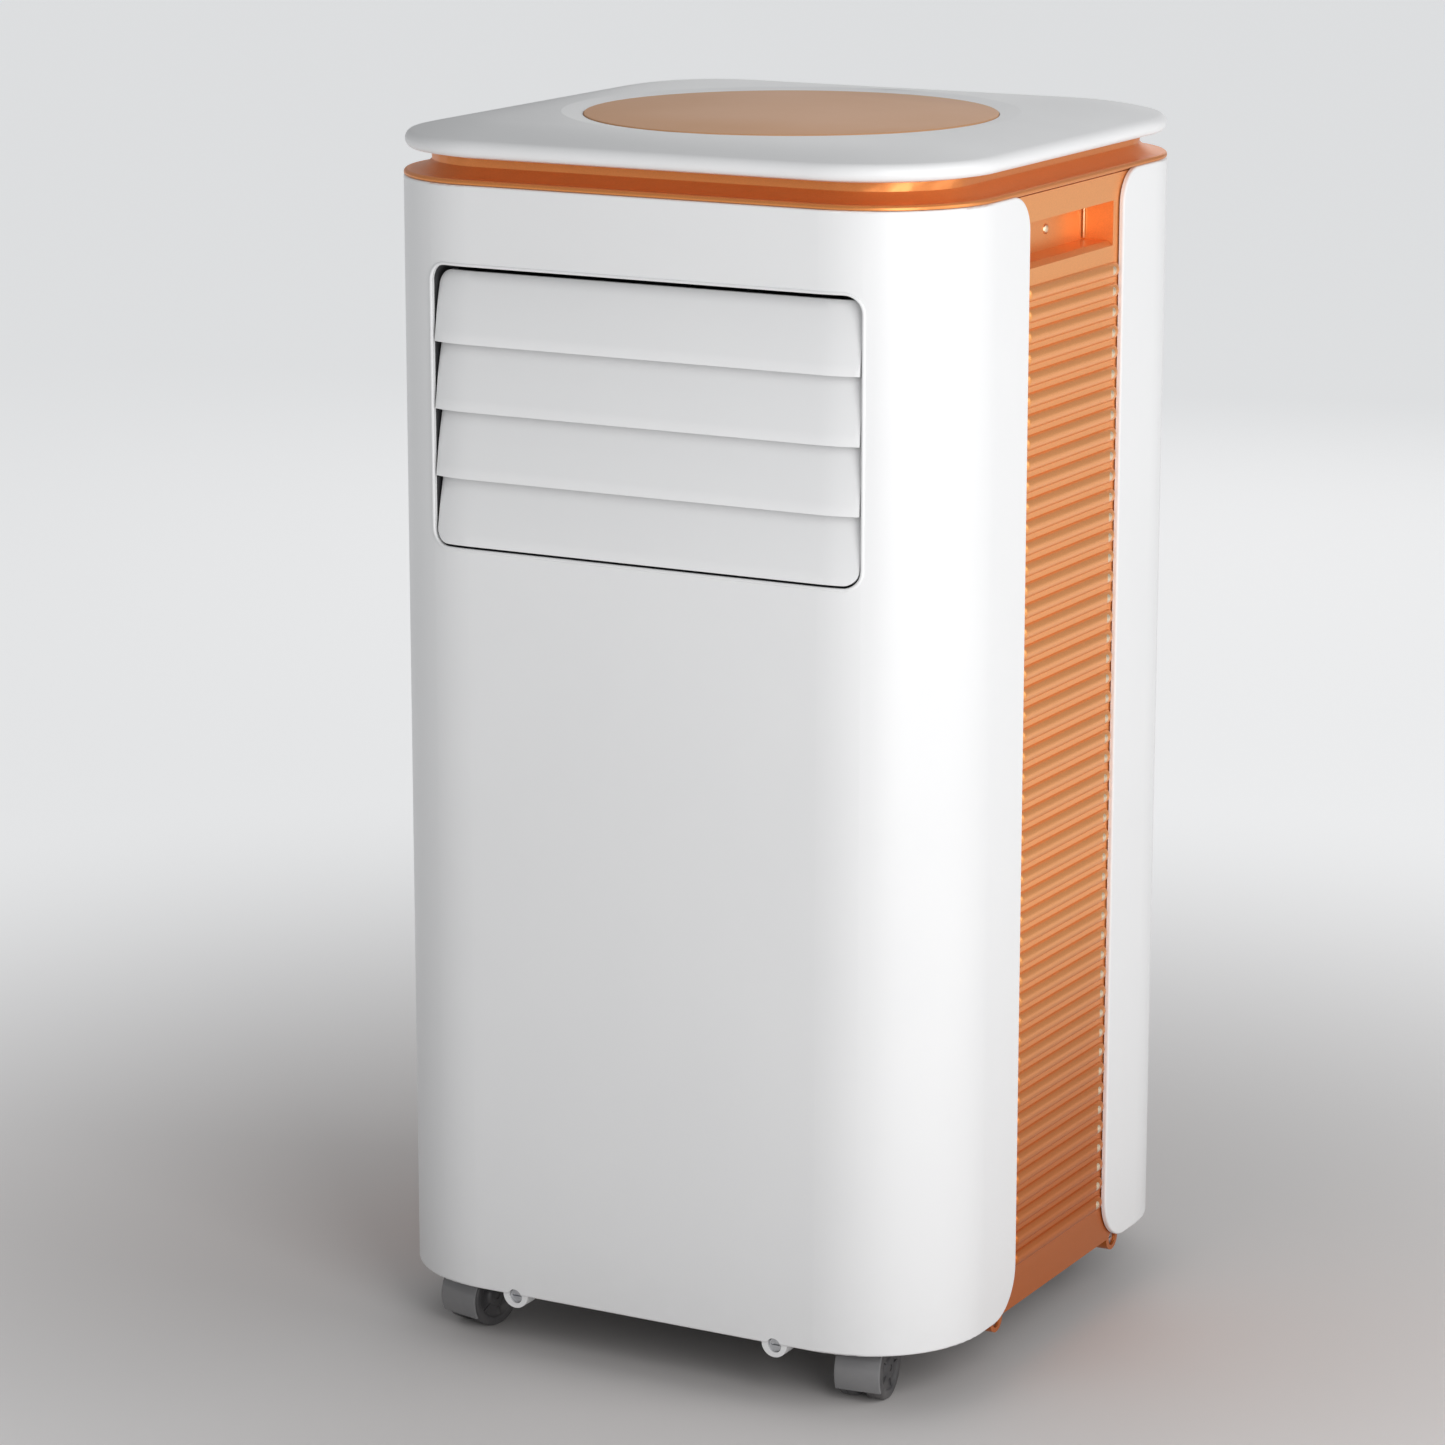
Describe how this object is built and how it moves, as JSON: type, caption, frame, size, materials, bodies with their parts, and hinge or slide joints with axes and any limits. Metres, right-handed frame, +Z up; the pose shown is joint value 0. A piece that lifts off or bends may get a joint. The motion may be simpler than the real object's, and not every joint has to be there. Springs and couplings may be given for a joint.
{
  "type": "portable air conditioner",
  "caption": "Upright cabinet air conditioner on swivel casters, with white shells, ribbed copper side panels, a louvred air outlet, a hose outlet and a floating top with a round touch panel.",
  "frame": {"origin": "on the floor, under the centre of the cabinet's bounding box", "axes": "+Z up, the front with the louvres faces -Y, +X is to the right for someone who faces the front"},
  "size_m": [0.358, 0.356, 0.7],
  "materials": {
    "shell_white": "satin white moulded plastic",
    "copper_satin": "satin copper metallic paint on plastic",
    "disc_tan": "matte warm tan touch panel",
    "rear_white": "fine-textured white plastic",
    "filter_mesh": "dark woven filter mesh",
    "dark_plastic": "dark grey moulded plastic",
    "motor_steel": "plated sheet steel",
    "circuit_board": "green laminate",
    "coil_aluminium": "bare finned aluminium",
    "black_enamel": "black enamelled steel",
    "pipe_copper": "drawn copper tube",
    "bush_rubber": "soft black rubber",
    "zinc_steel": "zinc-plated steel",
    "caster_grey": "satin mid-grey plastic",
    "caster_tread": "dark grey wheel plastic"
  },
  "bodies": {
    "cabinet": {"front_shell": "shell_white", "rear_shell": "shell_white", "top_plate": "shell_white", "side_panel_right": "copper_satin", "side_panel_left": "copper_satin", "top_collar": "copper_satin", "control_disc": "disc_tan", "exhaust_collar": "rear_white", "exhaust_guard": "rear_white", "base_pan": "dark_plastic", "louvre_frame": "dark_plastic", "mid_deck": "dark_plastic", "drain_port": "dark_plastic", "cord_gland": "dark_plastic", "evaporator_scroll": "dark_plastic", "condenser_scroll": "dark_plastic", "control_box": "dark_plastic", "louvre_motor": "motor_steel", "evaporator_motor": "motor_steel", "condenser_motor": "motor_steel", "splash_motor": "motor_steel", "run_capacitor": "motor_steel", "display_board": "circuit_board", "control_board": "circuit_board", "evaporator_coil": "coil_aluminium", "condenser_coil": "coil_aluminium", "compressor": "black_enamel", "accumulator": "black_enamel", "discharge_pipe": "pipe_copper", "suction_pipe": "pipe_copper", "compressor_grommets": "bush_rubber", "case_screws": "zinc_steel", "compressor_bolts": "zinc_steel"},
    "upper_filter": {"upper_filter_frame": "rear_white", "upper_filter_mesh": "filter_mesh"},
    "lower_filter": {"lower_filter_frame": "rear_white", "lower_filter_mesh": "filter_mesh"},
    "drain_stopper": {"drain_plug": "rear_white"},
    "evaporator_fan": {"evaporator_wheel": "dark_plastic"},
    "condenser_fan": {"condenser_wheel": "dark_plastic"},
    "splash_disc": {"splash_wheel": "dark_plastic"},
    "blade_1": {"louvre_blade_1": "shell_white"},
    "blade_2": {"louvre_blade_2": "shell_white"},
    "blade_3": {"louvre_blade_3": "shell_white"},
    "blade_4": {"louvre_blade_4": "shell_white"},
    "blade_link": {"louvre_link": "dark_plastic"},
    "blade_crank": {"louvre_crank": "dark_plastic"},
    "caster_fl": {"caster_fl_hood": "caster_grey", "caster_fl_stem": "zinc_steel"},
    "wheels_fl": {"caster_fl_wheels": "caster_tread"},
    "caster_fr": {"caster_fr_hood": "caster_grey", "caster_fr_stem": "zinc_steel"},
    "wheels_fr": {"caster_fr_wheels": "caster_tread"},
    "caster_rl": {"caster_rl_hood": "caster_grey", "caster_rl_stem": "zinc_steel"},
    "wheels_rl": {"caster_rl_wheels": "caster_tread"},
    "caster_rr": {"caster_rr_hood": "caster_grey", "caster_rr_stem": "zinc_steel"},
    "wheels_rr": {"caster_rr_wheels": "caster_tread"}
  },
  "joints": [
    {"name": "louvre_tilt", "type": "hinge", "parent": "cabinet", "child": "blade_1", "pos_m": [0, -0.163, 0.488], "axis": [-1, 0, 0], "range_deg": [0, 50]},
    {"name": "blade_2_tilt", "type": "hinge", "parent": "cabinet", "child": "blade_2", "pos_m": [0, -0.163, 0.5257], "axis": [-1, 0, 0], "range_deg": [0, 50]},
    {"name": "blade_3_tilt", "type": "hinge", "parent": "cabinet", "child": "blade_3", "pos_m": [0, -0.163, 0.5634], "axis": [-1, 0, 0], "range_deg": [0, 50]},
    {"name": "blade_4_tilt", "type": "hinge", "parent": "cabinet", "child": "blade_4", "pos_m": [0, -0.163, 0.6011], "axis": [-1, 0, 0], "range_deg": [0, 50]},
    {"name": "crank_turn", "type": "hinge", "parent": "cabinet", "child": "blade_crank", "pos_m": [-0.14, -0.141, 0.54455], "axis": [-1, 0, 0], "range_deg": [0, 50]},
    {"name": "link_turn", "type": "hinge", "parent": "blade_1", "child": "blade_link", "pos_m": [-0.128, -0.151, 0.504], "axis": [-1, 0, 0], "range_deg": [-50, 0]},
    {"name": "evaporator_spin", "type": "hinge", "parent": "cabinet", "child": "evaporator_fan", "pos_m": [0, 0.01, 0.546], "axis": [0, 1, 0], "continuous": true},
    {"name": "condenser_spin", "type": "hinge", "parent": "cabinet", "child": "condenser_fan", "pos_m": [0.062, 0.05, 0.16], "axis": [0, 1, 0], "continuous": true},
    {"name": "splash_spin", "type": "hinge", "parent": "cabinet", "child": "splash_disc", "pos_m": [0.03, 0.1, 0.062], "axis": [0, 1, 0], "continuous": true},
    {"name": "upper_filter_pull", "type": "slide", "parent": "cabinet", "child": "upper_filter", "axis": [0, 1, 0], "range_m": [0, 0.03]},
    {"name": "lower_filter_pull", "type": "slide", "parent": "cabinet", "child": "lower_filter", "axis": [0, 1, 0], "range_m": [0, 0.03]},
    {"name": "drain_plug_pull", "type": "slide", "parent": "cabinet", "child": "drain_stopper", "axis": [0, 1, 0], "range_m": [0, 0.025]},
    {"name": "caster_fl_swivel", "type": "hinge", "parent": "cabinet", "child": "caster_fl", "pos_m": [-0.124, -0.126, 0.04], "axis": [0, 0, 1], "continuous": true},
    {"name": "wheels_fl_roll", "type": "hinge", "parent": "caster_fl", "child": "wheels_fl", "pos_m": [-0.1276, -0.14159, 0.018], "axis": [0.9744, -0.225, 0], "continuous": true},
    {"name": "caster_fr_swivel", "type": "hinge", "parent": "cabinet", "child": "caster_fr", "pos_m": [0.124, -0.126, 0.04], "axis": [0, 0, 1], "continuous": true},
    {"name": "wheels_fr_roll", "type": "hinge", "parent": "caster_fr", "child": "wheels_fr", "pos_m": [0.12595, -0.14188, 0.018], "axis": [0.9925, 0.1219, 0], "continuous": true},
    {"name": "caster_rl_swivel", "type": "hinge", "parent": "cabinet", "child": "caster_rl", "pos_m": [-0.124, 0.126, 0.04], "axis": [0, 0, 1], "continuous": true},
    {"name": "wheels_rl_roll", "type": "hinge", "parent": "caster_rl", "child": "wheels_rl", "pos_m": [-0.11906, 0.11078, 0.018], "axis": [0.9511, 0.309, 0], "continuous": true},
    {"name": "caster_rr_swivel", "type": "hinge", "parent": "cabinet", "child": "caster_rr", "pos_m": [0.124, 0.126, 0.04], "axis": [0, 0, 1], "continuous": true},
    {"name": "wheels_rr_roll", "type": "hinge", "parent": "caster_rr", "child": "wheels_rr", "pos_m": [0.1215, 0.1102, 0.018], "axis": [0.9877, -0.1564, 0], "continuous": true}
  ],
  "couplings": [
    {"joint": "blade_2_tilt", "follows": "louvre_tilt", "ratio": 1},
    {"joint": "blade_3_tilt", "follows": "louvre_tilt", "ratio": 1},
    {"joint": "blade_4_tilt", "follows": "louvre_tilt", "ratio": 1},
    {"joint": "crank_turn", "follows": "louvre_tilt", "ratio": 1},
    {"joint": "link_turn", "follows": "louvre_tilt", "ratio": -1}
  ]
}
